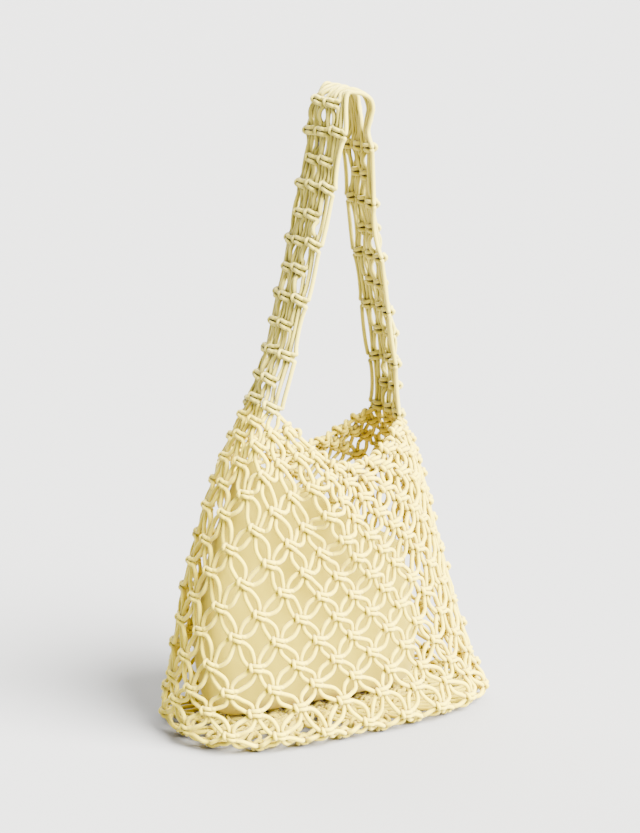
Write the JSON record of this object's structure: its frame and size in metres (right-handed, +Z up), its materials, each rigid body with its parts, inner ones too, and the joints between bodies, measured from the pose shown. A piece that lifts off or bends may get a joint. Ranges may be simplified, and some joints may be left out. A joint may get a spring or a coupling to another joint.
{
  "type": "knotted net tote bag",
  "caption": "Tall tote bag tied from round cotton cord in an open knotted net, with a corded mouth, one wide knotted shoulder strap and a soft pouch inside.",
  "frame": {"origin": "on the floor under the middle of the bag's bounding box", "axes": "+Z up to the top of the strap, +X to the right end as seen from the front, +Y to the back"},
  "size_m": [0.3156, 0.188, 0.5908],
  "materials": {
    "cotton_cord": "smooth matte braided cotton cord, pale butter yellow",
    "pouch_cotton": "plain smooth cotton cloth, pale butter yellow"
  },
  "bodies": {
    "root": {"net_body": "cotton_cord", "net_base": "cotton_cord", "rim_front": "cotton_cord", "rim_back": "cotton_cord", "shoulder_strap": "cotton_cord", "inner_pouch": "pouch_cotton"}
  },
  "joints": []
}
